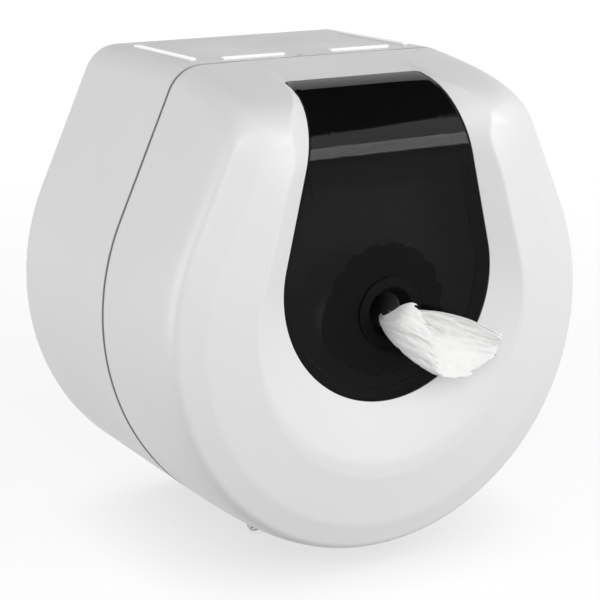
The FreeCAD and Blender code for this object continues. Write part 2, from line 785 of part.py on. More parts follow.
def make_window():
    start = "window_top_depth + window_clearance"
    full = "case_wall + flange_thickness"
    slab = floor_layer("slab", "0", full, "-window_clearance", start)
    flange = floor_layer("flange", "case_wall + flange_clearance", full, "flange_margin",
                         "window_top_depth - flange_margin")
    hollow = floor_layer("pane_back", "window_thickness", f"{full} + overrun", "-window_clearance - rim_width",
                         f"{start} + rim_width")
    whole = cut("window_blank", fuse("window_whole", [slab, flange]), hollow)
    tools = [cylinder("outlet_hole", "outlet_radius + outlet_fit", "floor_depth",
                      ("0", "-floor_depth / 2", "outlet_height"), ALONG_Y)]
    for index, (across, up) in enumerate(window_screw_spots()):
        spot = (across, f"-{FLANGE_SEAT} + overrun", up)
        tools.append(cylinder(f"window_screw_hole_{index}", "screw_hole", "2 * overrun", spot, ALONG_Y))
    piece(cut("window", whole, fuse("window_tools", tools)), "window")


def make_window_screws():
    group = []
    rear = f"({FLANGE_SEAT} - flange_thickness)"
    for index, (across, up) in enumerate(window_screw_spots()):
        head_spot = (across, f"-{rear} + screw_head_height", up)
        head = cylinder(f"window_screw_head_{index}", "screw_head", "screw_head_height", head_spot, ALONG_Y)
        shank = cylinder(f"window_screw_shank_{index}", "screw_radius", "flange_thickness + window_screw_reach",
                         (across, f"-{rear}", up), ALONG_Y)
        group.append(fuse(f"window_screw_{index}", [head, shank]))
    compound("window_screws", group)


def compound(label, shapes):
    made = doc.addObject("Part::Compound", label)
    made.Links = shapes
    return piece(made, label)


def make_outlet():
    cup = body("outlet_cup")
    front = "(floor_depth + outlet_lip_thickness)"
    rear = f"({front} - outlet_length)"
    turned(cup, "cup_profile", [
        ("floor_depth", "outlet_radius + outlet_lip"),
        (front, "outlet_radius + outlet_lip"),
        (front, "outlet_mouth"),
        (f"{front} - outlet_throat_depth", "outlet_throat"),
        (rear, "outlet_funnel"),
        (rear, "outlet_radius"),
        ("floor_depth", "outlet_radius"),
    ], up="outlet_height")

    ring = body("outlet_ring")
    disc = sketch(ring, "ring_disc", "XZ", f"{WINDOW_BACK} - ring_thickness")
    circle(disc, "0", "outlet_height", "ring_radius")
    circle(disc, "0", "outlet_height", "outlet_radius + outlet_fit / 2")
    pad(ring, disc, "ring_thickness")
    scallops = sketch(ring, "ring_scallops", "XZ", WINDOW_BACK)
    reach = "(ring_radius + ring_scallop - ring_scallop_cut)"
    for index in range(SCALLOPS):
        turn = f"({index} * 360 / {SCALLOPS} * 1 deg)"
        circle(scallops, f"{reach} * cos{turn}", f"outlet_height + {reach} * sin{turn}", "ring_scallop")
    pocket(ring, scallops, "ring_thickness")


# Hinge pins

def make_hinge():
    clips = []
    for side, sign in SIDES.items():
        turn = FreeCAD.Rotation(V(0, 1, 0), 90 * sign)
        spot = (f"{sign} * lug_outer", "-hinge_depth", "hinge_height")
        head = cylinder(f"pin_head_{side}", "pin_head", "pin_head_thickness", spot, turn)
        length = f"(lug_outer - {LUG_INNER} + pin_tail)"
        tail = (f"{sign} * (lug_outer - {length})", "-hinge_depth", "hinge_height")
        shank = cylinder(f"pin_shank_{side}", "pin_radius", length, tail, turn)
        piece(fuse(f"hinge_pin_{side}", [head, shank]), f"hinge_pin_{side}")
        clip_spot = (f"{sign} * ({LUG_INNER} - clip_gap - clip_thickness)", "-hinge_depth", "hinge_height")
        washer = cylinder(f"clip_disc_{side}", "clip_radius", "clip_thickness", clip_spot, turn)
        hole = cylinder(f"clip_hole_{side}", "pin_radius + pin_fit / 2", "clip_thickness", clip_spot, turn)
        clips.append(cut(f"hinge_clip_{side}", washer, hole))
    compound("hinge_clips", clips)


# Latch

def make_latch_slider():
    slider = body("latch_slider")
    half = "slider_width / 2"
    block = sketch(slider, "slider_block", "XY", "slider_low")
    rectangle(block, f"latch_place - {half}", f"latch_place + {half}", "-latch_depth - slider_front",
              "-latch_depth + slider_rear")
    pad(slider, block, "slider_height")
    nose = sketch(slider, "slider_nose", "XY", SLIDER_TOP)
    rectangle(nose, "latch_place - nose_width / 2", "latch_place + nose_width / 2",
              "-latch_depth - nose_length / 2", "-latch_depth + nose_length / 2")
    pad(slider, nose, f"nose_top - {SLIDER_TOP}")
    bore = circle(sketch(slider, "slider_bore", "XY", "slider_low"), "latch_place", "-latch_depth + spring_offset",
                  "spring_bore")
    pocket(slider, bore, "spring_bore_depth", reverse=True)


def make_latch_guide():
    guide = body("latch_guide")
    inner = "(slider_width / 2 + slider_clearance)"
    outer = f"({inner} + guide_wall)"
    web_rear = f"({GUIDE_REAR} - guide_wall)"
    front = "(latch_depth + slider_front + guide_front)"
    left, right = f"latch_place - {outer}", f"latch_place + {outer}"
    shelf = rectangle(sketch(guide, "guide_shelf", "XY", "guide_low"), left, right, f"-{front}",
                      f"-{web_rear}")
    pad(guide, shelf, "guide_wall")
    web = rectangle(sketch(guide, "guide_web", "XY", SHELF_TOP), left, right, f"-{GUIDE_REAR}", f"-{web_rear}")
    pad(guide, web, f"{GUIDE_FLANGE_TOP} - {SHELF_TOP}")
    cheeks = sketch(guide, "guide_cheeks", "XY", SHELF_TOP)
    rectangle(cheeks, left, f"latch_place - {inner}", f"-{front}", f"-{GUIDE_REAR}")
    rectangle(cheeks, f"latch_place + {inner}", right, f"-{front}", f"-{GUIDE_REAR}")
    pad(guide, cheeks, "guide_cheek - guide_wall")
    stop = sketch(guide, "guide_stop_ledge", "XY", f"{SLIDER_TOP} + slider_clearance")
    rectangle(stop, left, right, f"-{GUIDE_REAR} - guide_stop", f"-{GUIDE_REAR}")
    pad(guide, stop, "guide_stop_thickness")
    flange = sketch(guide, "guide_flange_plate", "XY", f"{GUIDE_FLANGE_TOP} - guide_flange_thickness")
    rectangle(flange, left, right, f"-{web_rear}", f"-{web_rear} + guide_flange")
    pad(guide, flange, "guide_flange_thickness")
    holes = sketch(guide, "guide_holes", "XY", GUIDE_FLANGE_TOP)
    for across in latch_screw_spots():
        circle(holes, across, f"-{GUIDE_SCREW_DEPTH}", "screw_hole")
    pocket(guide, holes, "guide_flange_thickness")


def make_keeper():
    keeper = body("latch_keeper")
    half = "keeper_width / 2"
    slot = "(nose_length / 2 + keeper_slot_clearance)"
    plate = sketch(keeper, "keeper_plate", "XY", KEEPER_LOW)
    rectangle(plate, f"latch_place - {half}", f"latch_place + {half}", "-keeper_front",
              f"-latch_depth + {slot} + keeper_bar")
    pad(keeper, plate, "keeper_thickness")
    window = sketch(keeper, "keeper_slot", "XY", KEEPER_TOP)
    wide = "(nose_width / 2 + keeper_slot_clearance)"
    rectangle(window, f"latch_place - {wide}", f"latch_place + {wide}", f"-latch_depth - {slot}",
              f"-latch_depth + {slot}")
    pocket(keeper, window, "keeper_thickness")
    holes = sketch(keeper, "keeper_holes", "XY", KEEPER_TOP)
    for across in latch_screw_spots():
        circle(holes, across, "-keeper_screw_depth", "screw_hole")
    pocket(keeper, holes, "keeper_thickness")


def make_latch_screws(label, depth, underside, length):
    """Two screws from below through a plate."""
    group = []
    for index, across in enumerate(latch_screw_spots()):
        head_spot = (across, f"-{depth}", f"{underside} - screw_head_height")
        head = cylinder(f"{label}_head_{index}", "screw_head", "screw_head_height", head_spot)
        shank = cylinder(f"{label}_shank_{index}", "screw_radius", length, (across, f"-{depth}", underside))
        group.append(fuse(f"{label}_{index}", [head, shank]))
    compound(label, group)


def make_latch_spring():
    """A coil spring between the guide's shelf and the slider's bore, as one wire bent in quarter turns."""
    low = size(f"{SHELF_TOP} + spring_seat + spring_wire")
    high = size(f"slider_low + spring_bore_depth - spring_seat - spring_wire")
    radius, wire, turns = size("spring_radius"), size("spring_wire"), size("spring_turns")
    quarters = round(4 * turns)

    def spot(turn):
        angle = turn * math.pi / 2
        return V(radius * math.cos(angle), radius * math.sin(angle), (high - low) * turn / quarters)

    arcs = [Part.Arc(spot(turn), spot(turn + 0.5), spot(turn + 1)).toShape() for turn in range(quarters)]
    path = Part.Wire(arcs)
    start = path.Edges[0]
    direction = start.tangentAt(start.FirstParameter)
    ring = Part.Wire([Part.Circle(spot(0), direction, wire).toShape()])
    spring = doc.addObject("Part::Feature", "latch_spring")
    spring.Shape = path.makePipeShell([ring], True, False)
    spring.Placement = FreeCAD.Placement(V(size("latch_place"), -size("latch_depth - spring_offset"), low),
                                         FreeCAD.Rotation())
    print(f"latch_spring gap between turns {(high - low) / turns - 2 * wire:.2f}")
    piece(spring, "latch_spring")


# Paper

def make_roll():
    roll = body("paper_roll")
    ends = sketch(roll, "roll_end", "XZ", ROLL_REAR)
    circle(ends, "0", "roll_height", "roll_radius")
    circle(ends, "0", "roll_height", "roll_bore")
    pad(roll, ends, "roll_length")


def make_tail():
    """The tissue: a round neck through the outlet that opens into a flattened fan to the right."""
    exit_depth = "(floor_depth + outlet_lip_thickness)"
    neck = cylinder("tail_stem", "outlet_throat - tail_clearance", "tail_inside + tail_bunch",
                    ("0", f"-{exit_depth} + tail_inside", "outlet_height"), ALONG_Y)
    sections = []
    for index, (side, front, drop, width, thick) in enumerate(TAIL_SHARES):
        level = sketch(doc, f"tail_level_{index}", "YZ", f"tail_start + tail_reach_side * {side}")
        depth = f"({exit_depth} + tail_reach_front * {front})"
        middle = f"outlet_height - tail_drop * {drop}"
        polygon(level, [(f"-{depth} + tail_thickness * {thick} / 2 * ({out})",
                         f"{middle} + tail_width * {width} / 2 * ({up})") for out, up in TAIL_OUTLINE_SHARES])
        sections.append(level)
    fan = loft("tail_fan", sections, True)
    piece(fuse("tissue_tail", [neck, fan]), "tissue_tail")


def finish():
    """Check every object of the document, then write each sub-part."""
    doc.recompute()
    for obj in doc.Objects:
        if "Invalid" in obj.State or "Error" in obj.State:
            raise RuntimeError(f"{obj.Name} failed: {obj.State}")
    for obj in pieces:
        if obj.Shape.isNull() or not obj.Shape.isValid():
            raise RuntimeError(f"{obj.Label} has no valid shape")
    os.makedirs("parts", exist_ok=True)
    for obj in pieces:
        obj.Shape.exportStep(f"parts/{obj.Label}.step")
        print(f"{obj.Label}: {len(obj.Shape.Solids)} solids, {obj.Shape.Volume:.0f} mm3")


make_rear_housing()
make_strips()
make_front_cover()
make_window()
make_window_screws()
make_outlet()
make_hinge()
make_latch_slider()
make_latch_guide()
make_latch_screws("guide_screws", GUIDE_SCREW_DEPTH, f"({GUIDE_FLANGE_TOP} - guide_flange_thickness)",
                  "guide_flange_thickness + screw_reach")
make_keeper()
make_latch_screws("keeper_screws", "keeper_screw_depth", KEEPER_LOW, "screw_reach")
make_latch_spring()
make_roll()
make_tail()
finish()
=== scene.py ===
import json
import math

import bmesh
import bpy
import numpy as np
from mathutils import Matrix, Vector, noise


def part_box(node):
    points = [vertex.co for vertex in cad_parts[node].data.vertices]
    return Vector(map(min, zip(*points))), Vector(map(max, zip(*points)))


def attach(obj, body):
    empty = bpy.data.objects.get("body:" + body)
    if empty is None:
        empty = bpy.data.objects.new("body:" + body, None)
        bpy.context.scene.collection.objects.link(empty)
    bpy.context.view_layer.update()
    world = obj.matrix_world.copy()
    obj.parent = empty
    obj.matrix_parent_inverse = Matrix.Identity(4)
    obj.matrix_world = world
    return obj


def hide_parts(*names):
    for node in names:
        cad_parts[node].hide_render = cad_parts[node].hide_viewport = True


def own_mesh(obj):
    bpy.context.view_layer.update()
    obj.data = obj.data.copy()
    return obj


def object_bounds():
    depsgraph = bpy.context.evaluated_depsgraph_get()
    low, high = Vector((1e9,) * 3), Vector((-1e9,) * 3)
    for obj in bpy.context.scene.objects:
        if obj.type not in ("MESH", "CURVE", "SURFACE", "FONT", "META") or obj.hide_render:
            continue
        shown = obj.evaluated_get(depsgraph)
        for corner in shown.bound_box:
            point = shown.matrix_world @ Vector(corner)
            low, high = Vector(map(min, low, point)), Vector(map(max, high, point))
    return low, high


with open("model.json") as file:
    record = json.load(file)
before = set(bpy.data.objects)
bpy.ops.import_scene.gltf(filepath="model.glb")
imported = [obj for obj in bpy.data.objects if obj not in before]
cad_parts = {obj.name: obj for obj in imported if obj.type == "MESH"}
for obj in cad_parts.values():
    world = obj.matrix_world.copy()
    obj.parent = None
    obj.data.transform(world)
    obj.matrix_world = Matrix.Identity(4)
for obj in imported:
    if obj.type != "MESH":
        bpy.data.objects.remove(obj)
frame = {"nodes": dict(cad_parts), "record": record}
CAD_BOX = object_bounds()
NODES = frame["nodes"]

# A wall-hung dispenser for centre-feed tissue. Sizes are in millimetres until a mesh is made.
# +X is to the right, +Z is up, and a depth is a distance from the wall towards the front, which is -Y.
MM = 0.001

# Case outline
BODY_RADIUS = 110.0
FLANK_LEAN = math.radians(24.5)
TOP_HEIGHT = 111.4
CORNER_RADIUS = 17.6
CASE_WALL = 3.0

# Cover: seam, crease and crown
COVER_REAR = 90.2
SEAM_CHAMFER = 0.55
CREASE_DEPTH = 156.2
CREASE_INSET = 17.0
CREASE_DROP = 27.8
CREASE_CORNER = 21.5
CROWN_RISE = 3.3
FRONT_INSET = 40.0
FRONT_DROP = 51.0
FRONT_CORNER = 12.0
CREASE_SOFTNESS = 0.3
RIDGE_SOFTNESS = 0.35
# Curve points where the side turns over, as depths and insets, and where the top does, as depths and drops
SIDE_TURN = [(150, 0.6), (151.4, 2.6), (153.2, 8.4)]
TOP_TURN = [(128, 5), (155.5, 10)]

# Dish and window
FLOOR_DEPTH = 153.4
DISH_DEPTH = 6.1
FLOOR_BEND = 33.0
FLOOR_BEND_HEIGHT = 71.8
TOP_SLOPE = math.radians(12.7)
DISH_RADIUS = 69.5
DISH_CENTRE = 6.0
WINDOW_RADIUS = 54.3
WINDOW_CENTRE = 18.3
WINDOW_LEAN = math.radians(13.1)
WINDOW_TOP_DEPTH = 121.0
WINDOW_CORNER = 1.0
WINDOW_CLEARANCE = 0.25
WINDOW_THICKNESS = 2.5
WINDOW_EDGE_ROUNDING = 0.8
FLANGE_MARGIN = 9.0
FLANGE_FRONT = 3.1
FLANGE_REAR = 5.0
RIM_WIDTH = 5.0
OUTLET_HEIGHT = 5.0
OUTLET_HOLE = 15.2

# Hinge knuckles and latch posts of the cover
HINGE_DEPTH = 84.0
HINGE_HEIGHT = -112.0
KNUCKLE_RADIUS = 4.0
KNUCKLE_WIDTH = 5.0
KNUCKLE_OUTER = 28.3
KNUCKLE_ROOT = 10.5
KNUCKLE_EDGE = 0.4
WEB_REAR = 0.5 * KNUCKLE_RADIUS
WEB_HALF_HEIGHT = 0.85 * KNUCKLE_RADIUS
PIN_BORE = 1.55
POST_PLACES = (-12.1, -1.1)
POST_DEPTH = 104.0
POST_LOW = 102.5
POST_HIGH = 107.5
POST_RADIUS = 3.2
POST_BORE = 1.15
POST_EDGE = 0.3

# Latch spring
WIRE_RADIUS = 0.4
WIRE_SIDES = 10
SPRING_TURNS = 5
SPRING_STEPS = 36

# Roll of tissue: its layers, how far they stand in from the roll's ends, and its core
ROLL_LAYERS = 46
ROLL_ROWS = 240
ROLL_COLUMNS = 240
ROLL_EDGE = 0.3
END_INSET = 0.1
LAYER_STEP = 0.35
LAYER_UNEVENNESS = 0.45
LAYER_FREQUENCY = 1.7
LAYER_SEED = (0.3, 5.1)
LAYER_CURL = 0.2
ROLL_CORE = 21.0
CORE_SAG = 0.7
CORE_SAG_REACH = 6
CORE_FLOOR = 12.0
CORE_REAR = 1
CORE_PINHOLE = 0.5

# Tissue drawn out of the outlet: a strip that opens into a trough, torn off at a slant.
# Each station runs over the back edge, back middle, bottom, front middle and front edge, as x, depth and z.
STRIP_STATIONS = np.array([
    [(5.5, 144, 2.5), (6.2, 144, 0.8), (3.2, 144, -1.4), (0.5, 144, 0), (1.5, 144, 2)],
    [(5, 154.5, 4), (7, 155, 0.5), (-2.5, 156, -4.2), (-6.6, 157, 0.8), (-5.2, 157, 5)],
    [(6.5, 157.5, 6), (11, 157.5, -2), (-1.9, 166, -10), (-6.5, 170, 2.5), (-2.3, 167, 11.6)],
    [(11.1, 159.5, 5.6), (16, 158.5, -5), (3.2, 171, -15.6), (2.5, 177, -2), (1.2, 171, 12.8)],
    [(21.6, 161.5, 3.8), (25, 160, -9), (14.6, 173, -21.8), (11, 178, -10), (8, 174, 7)],
    [(36.7, 163.5, -1.6), (39, 162, -14), (31.5, 171.5, -27.5), (27, 176, -18), (24, 175, -4)],
    [(51.9, 167, -9.9), (50.5, 166, -17), (43, 172, -25), (40, 174, -20), (38, 174, -12)],
], float)
STRIP_ROWS = 110
STRIP_COLUMNS = 150
STRIP_THICKNESS = 0.2
# The station at which the strip is torn off, at places across it, and how ragged the tear is
TEAR_PLACES, TEAR_ENDS = [0, 1.3, 2.0, 4.0], [6.0, 6.0, 4.05, 3.03]
RAGGED_PLACES, RAGGED_REACH = [0, 1, 2, 4], [0.2, 0.35, 0.25, 0.25]
TEAR_FREQUENCY = 9
TEAR_SEED = (1.3, 0.7)
# Wrinkles: broad folds and finer ripples, with frequencies across and along, calmer near the outlet
STRIP_WRINKLE = 0.75
FOLD_FREQUENCY = (2.6, 0.55)
FOLD_SEED = 2.2
RIPPLE_FREQUENCY = (7, 1.1)
RIPPLE_SEED = 8.8
RIPPLE_SHARE = 0.5
CALM_STATIONS = 2
CALM_SHARE = 0.25
# Dimension, gap between octaves, and octaves of the fractal noises
TEAR_FRACTAL = (0.6, 2.1, 5)
FOLD_FRACTAL = (0.7, 2.0, 4)

# Grids: columns round the window and the cover, and rows along each column
GRID_HEIGHT = 10.0
GRID_MIDDLE = np.array([0, COVER_REAR, GRID_HEIGHT])
COLUMNS = 360
PROFILE_SAMPLES = 420
CURVE_SAMPLES = 200
COVER_ROWS, COVER_BEND_WEIGHT = 84, 1.3
LINING_ROWS, LINING_BEND_WEIGHT = 40, 1
WINDOW_ROWS, WINDOW_BEND_WEIGHT = 70, 0.8
# The window's edge has a rounding of so many rows, and its face starts so many roundings away from it
ROUNDING_ROWS = 5
FACE_START = 1.6
# Of the window's rows, its back has every third after the first eight, which the rim covers
BACK_START, BACK_STEP = 8, 3
RING_SIDES = 48
OFF_AXIS = (0.31, 0.57, 0.76)

# Searches along rays, smoothing widths, guards against division by zero, welding, and rays for crevices
OUTLINE_REACH = 150.0
NEAREST, FARTHEST = 0.5, 1.9
HALVINGS = 44
BEND_BLUR = 25
COLUMN_BLUR = 15
NEARLY_ZERO = 1e-9
RISE_GUARD = 1e-6
WELD_DISTANCE = 1e-7
CREVICE_RAYS = 12

# Camera, in metres and degrees
CAMERA_PLACE = (-0.41380, -0.77022, 0.21100)
CAMERA_TURN, CAMERA_RISE, CAMERA_ROLL = 30.79, 15.13, -0.09
CAMERA_LENS = 104.65
SENSOR_WIDTH = 36

# Stage, in metres
AMBIENT = 0.45
FLOOR_SIZE = 8
FLOOR_GAP = 0.0005
FLOOR_SHADE = 0.45
# An opened cover hangs below the floor's level, so the floor lets it show through
FLOOR_SOLIDITY = 0.33
# The floor's own light rises between these distances from its middle, and a painted contact shadow dims it
# where the object stands close
GLOW_DISTANCES, GLOW = (0.25, 1.2), (0.6, 1.0)
CONTACT_SHADOW_REACH = 0.06
CARD_SHADE = 0.004
# Name, size, place, and whether the card shows in reflections or else takes up diffuse light
CARDS = (
    ("flag", (0.7, 1.9), (0.45, -0.25, 0.95), True),
    ("rear_flag", (2.4, 1.2), (0.0, 0.85, 0.75), False),
)
# Name, place, target, size and power
SOFTBOXES = (
    ("left_softbox", (-1.47, 0.25, 0.2), (0, -0.07, 0), (0.8, 1.0), 9.3),
    ("right_softbox", (0.85, -1.45, 0.37), (0, -0.1, 0.02), (0.8, 0.4), 10),
    ("right_softbox_upper", (0.75, -1.25, 0.75), (0, -0.1, 0.02), (0.8, 0.6), 4),
    ("front_softbox", (-0.6, -1.35, 0.78), (0, -0.1, 0), (0.8, 0.8), 6.5),
)


# Outlines and surfaces

def outline_distance(x, z, radius, lean, centre=0.0, top=None, corner=0.0):
    """How far points lie outside a pear outline, negative inside. Without a top its flanks run on upwards."""
    x = np.abs(x)
    z = z - centre
    cos, sin = math.cos(lean), math.sin(lean)
    along = z * cos - x * sin
    low = np.where(along < 0, np.hypot(x, z), x * cos + z * sin) - radius
    if top is None:
        return low
    corner_up = top - centre - corner
    corner_across = (radius - corner - corner_up * sin) / cos
    rounded = np.hypot(x - corner_across, z - corner_up) - corner
    at_corner = (x > corner_across) & (along > corner_up * cos - corner_across * sin)
    return np.where(at_corner, rounded, np.maximum(low, z + centre - top))


def smooth_max(a, b, softness):
    return (a + b + np.sqrt((a - b) ** 2 + softness ** 2)) / 2


def bezier(points):
    share = np.linspace(0, 1, CURVE_SAMPLES)[:, None]
    rest = 1 - share
    a, b, c, d = (np.array(point, float) for point in points)
    return a * rest ** 3 + 3 * b * share * rest ** 2 + 3 * c * share ** 2 * rest + d * share ** 3


# Depth and inset of the cover's side wall, which turns over tightly into a narrow slope before the crease
SIDE_PROFILE = np.vstack([bezier([(COVER_REAR, 0), *SIDE_TURN]), [(CREASE_DEPTH, CREASE_INSET)]])
# Depth and drop of the cover's top, which slopes and then turns over widely
TOP_PROFILE = bezier([(COVER_REAR, 0), *TOP_TURN, (CREASE_DEPTH, CREASE_DROP)])


def form_distance(x, depth, z, skin=0.0):
    """The cover as a full form without its dish: walls up to the crease, then the low crown in front."""
    run = np.clip((depth - COVER_REAR) / (CREASE_DEPTH - skin - COVER_REAR), 0, 1)
    level = COVER_REAR + run * (CREASE_DEPTH - COVER_REAR)
    inset = np.interp(level, SIDE_PROFILE[:, 0], SIDE_PROFILE[:, 1]) + skin
    drop = np.interp(level, TOP_PROFILE[:, 0], TOP_PROFILE[:, 1]) + skin
    corner = CORNER_RADIUS + run * (CREASE_CORNER - CORNER_RADIUS) - skin * (1 - run)
    wall = outline_distance(x, z, BODY_RADIUS - inset, FLANK_LEAN, top=TOP_HEIGHT - drop, corner=corner)
    crease = -outline_distance(x, z, BODY_RADIUS - CREASE_INSET - skin, FLANK_LEAN,
                               top=TOP_HEIGHT - CREASE_DROP - skin, corner=CREASE_CORNER)
    front = outline_distance(x, z, BODY_RADIUS - FRONT_INSET - skin, FLANK_LEAN,
                             top=TOP_HEIGHT - FRONT_DROP - skin, corner=FRONT_CORNER)
    rise = np.clip(crease, 0, None) / (np.clip(crease, 0, None) + np.clip(front, 0, None) + RISE_GUARD)
    return smooth_max(wall, depth - (CREASE_DEPTH - skin + CROWN_RISE * rise), CREASE_SOFTNESS)


def floor_distance(depth, z):
    """How far points lie in front of the dish's floor: upright, bent back, then sloping up the top."""
    away, up = depth - (FLOOR_DEPTH - FLOOR_BEND), z - FLOOR_BEND_HEIGHT
    sloped = away * math.sin(TOP_SLOPE) + up * math.cos(TOP_SLOPE)
    past_bend = up * math.sin(TOP_SLOPE) - away * math.cos(TOP_SLOPE) > 0
    bent = np.where(past_bend, sloped, np.hypot(away, up))
    return np.where(up < 0, away, bent) - FLOOR_BEND


def dish_share(x, z):
    """0 at the window's edge, 1 at the ridge round the dish, and in proportion between and beyond."""
    inner = np.clip(outline_distance(x, z, WINDOW_RADIUS, WINDOW_LEAN, WINDOW_CENTRE), 0, None)
    outer = outline_distance(x, z, DISH_RADIUS, WINDOW_LEAN, DISH_CENTRE)
    return inner / np.clip(inner - outer, 1, None)


def cover_distance(x, depth, z, skin=0.0):
    dish = floor_distance(depth, z) + skin - DISH_DEPTH * dish_share(x, z)
    return smooth_max(form_distance(x, depth, z, skin), dish, RIDGE_SOFTNESS)


def floor_depth(z):
    """Depth of the dish's floor at a height."""
    up = z - FLOOR_BEND_HEIGHT
    bend_top = FLOOR_BEND * math.cos(TOP_SLOPE)
    rear = FLOOR_DEPTH - FLOOR_BEND
    bent = rear + np.sqrt(np.clip(FLOOR_BEND ** 2 - np.clip(up, 0, bend_top) ** 2, 0, None))
    return bent - np.clip(up - bend_top, 0, None) / math.tan(TOP_SLOPE)


def floor_normal(z):
    """The floor's outward normal at a height, as x, depth and z."""
    tilt = np.clip((z - FLOOR_BEND_HEIGHT) / FLOOR_BEND, 0, math.cos(TOP_SLOPE))
    return np.stack([np.zeros(tilt.shape), np.sqrt(1 - tilt ** 2), tilt], -1)


WINDOW_TOP = FLOOR_BEND_HEIGHT + FLOOR_BEND * math.cos(TOP_SLOPE) + math.tan(TOP_SLOPE) * (
    FLOOR_DEPTH - FLOOR_BEND + FLOOR_BEND * math.sin(TOP_SLOPE) - WINDOW_TOP_DEPTH)


def window_distance(x, z, clearance=0.0):
    """How far points lie outside the window's outline, drawn in by a clearance."""
    return outline_distance(x, z, WINDOW_RADIUS - clearance, WINDOW_LEAN, WINDOW_CENTRE,
                            top=WINDOW_TOP, corner=WINDOW_CORNER)


def crossing(inside, low, high):
    """Where a function of one array turns from negative to positive, by halving."""
    low, high = np.array(low, float), np.array(high, float)
    for _ in range(HALVINGS):
        middle = (low + high) / 2
        outside = inside(middle) > 0
        high = np.where(outside, middle, high)
        low = np.where(outside, low, middle)
    return (low + high) / 2


def polar_angles():
    """Column angles from the top, clockwise, with a column on each top corner of the window."""
    angles = np.arange(COLUMNS) * 2 * math.pi / COLUMNS
    half = (WINDOW_RADIUS - (WINDOW_TOP - WINDOW_CENTRE) * math.sin(WINDOW_LEAN)) / math.cos(WINDOW_LEAN)
    corner = math.atan2(half, WINDOW_TOP - GRID_HEIGHT)
    for place in (corner, 2 * math.pi - corner):
        angles[np.argmin(np.abs(angles - place))] = place
    return angles


ANGLES = polar_angles()
ACROSS, UP = np.sin(ANGLES), np.cos(ANGLES)


def outline_points(distance, centre):
    """Where each column's ray from a height in the middle leaves an outline."""
    radius = crossing(lambda r: distance(ACROSS * r, centre + UP * r),
                      np.zeros(COLUMNS), np.full(COLUMNS, OUTLINE_REACH))
    return ACROSS * radius, centre + UP * radius


def chord_profiles(first, last, distance):
    """For each column, the surface between two points, found along rays from the middle of the seam plane."""
    share = np.linspace(0, 1, PROFILE_SAMPLES)[None, :, None]
    chord = first[:, None] + share * (last - first)[:, None]
    rays = chord - GRID_MIDDLE

    def inside(reach):
        spot = GRID_MIDDLE + rays * reach[..., None]
        return distance(spot[..., 0], spot[..., 1], spot[..., 2])

    reach = crossing(inside, np.full(chord.shape[:2], NEAREST), np.full(chord.shape[:2], FARTHEST))
    return GRID_MIDDLE + rays * reach[..., None]


def drawn_in(points, distance):
    """Points moved towards the middle of the seam plane."""
    away = points - GRID_MIDDLE
    return GRID_MIDDLE + away * (1 - distance / np.linalg.norm(away, axis=1))[:, None]


def blur_weights(width):
    weights = np.hanning(width)
    return weights / weights.sum()


def resample(profiles, rows, bend_weight):
    """Profiles of points, evened out to fewer rows that lie closer together where a profile bends."""
    steps = np.linalg.norm(np.diff(profiles, axis=1), axis=2)
    runs = np.diff(profiles, axis=1) / np.maximum(steps, NEARLY_ZERO)[..., None]
    bends = np.zeros(steps.shape)
    bends[:, 1:] = np.linalg.norm(np.diff(runs, axis=1), axis=2)
    bends = np.array([np.convolve(row, blur_weights(BEND_BLUR), "same") for row in bends])
    weight = steps / steps.sum(1, keepdims=True)
    weight = weight + bend_weight * bends / np.maximum(bends.sum(1, keepdims=True), NEARLY_ZERO)
    places = np.concatenate([np.zeros((len(weight), 1)), np.cumsum(weight, 1)], 1)
    places /= places[:, -1:]
    side = COLUMN_BLUR // 2
    padded = np.concatenate([places[-side:], places, places[:side]])
    places = np.array([np.convolve(column, blur_weights(COLUMN_BLUR), "valid") for column in padded.T]).T
    wanted = np.linspace(0, 1, rows)
    return np.array([[np.interp(wanted, place, profile[:, k]) for k in range(3)]
                     for place, profile in zip(places, profiles)]).transpose(0, 2, 1)


def spline(points, places):
    """A smooth curve through evenly spaced points, along the first axis."""
    count = len(points)
    places = np.clip(places, 0, count - 1 - NEARLY_ZERO)
    index = np.floor(places).astype(int)
    share = (places - index).reshape((-1,) + (1,) * (points.ndim - 1))
    a, b, c, d = (points[np.clip(index + k, 0, count - 1)] for k in (-1, 0, 1, 2))
    cubic = 1.5 * (b - c) + (d - a) / 2
    return b + share * ((c - a) / 2 + share * (a - 2.5 * b + 2 * c - d / 2 + share * cubic))


# Meshes

def to_frame(points):
    """Points of x, depth and z in millimetres, as points of the frame in metres."""
    points = np.asarray(points, float)
    return np.stack([points[..., 0], -points[..., 1], points[..., 2]], -1) * MM


def grid_faces(columns, rows, closed=True):
    faces = []
    for i in range(columns if closed else columns - 1):
        a, b = i * rows, (i + 1) % columns * rows
        faces += [(a + j, b + j, b + j + 1, a + j + 1) for j in range(rows - 1)]
    return faces


def make_object(name, vertices, faces, material, sharp=None):
    """A smooth piece, with hard edges where faces meet at more than a sharp angle in degrees."""
    mesh = bpy.data.meshes.new(name)
    mesh.from_pydata([tuple(v) for v in vertices], [], faces)
    mesh.validate()
    work = bmesh.new()
    work.from_mesh(mesh)
    bmesh.ops.remove_doubles(work, verts=work.verts, dist=WELD_DISTANCE)
    bmesh.ops.recalc_face_normals(work, faces=work.faces)
    work.to_mesh(mesh)
    work.free()
    mesh.shade_smooth()
    if sharp:
        mesh.set_sharp_from_angle(angle=math.radians(sharp))
    mesh.materials.append(material)
    piece = bpy.data.objects.new(name, mesh)
    bpy.context.scene.collection.objects.link(piece)
    return piece


def make_grid(name, columns, material, closed=True, sharp=None):
    """A piece from columns of points, each joined to the next."""
    return make_object(name, to_frame(columns).reshape(-1, 3), grid_faces(*columns.shape[:2], closed),
                       material, sharp)


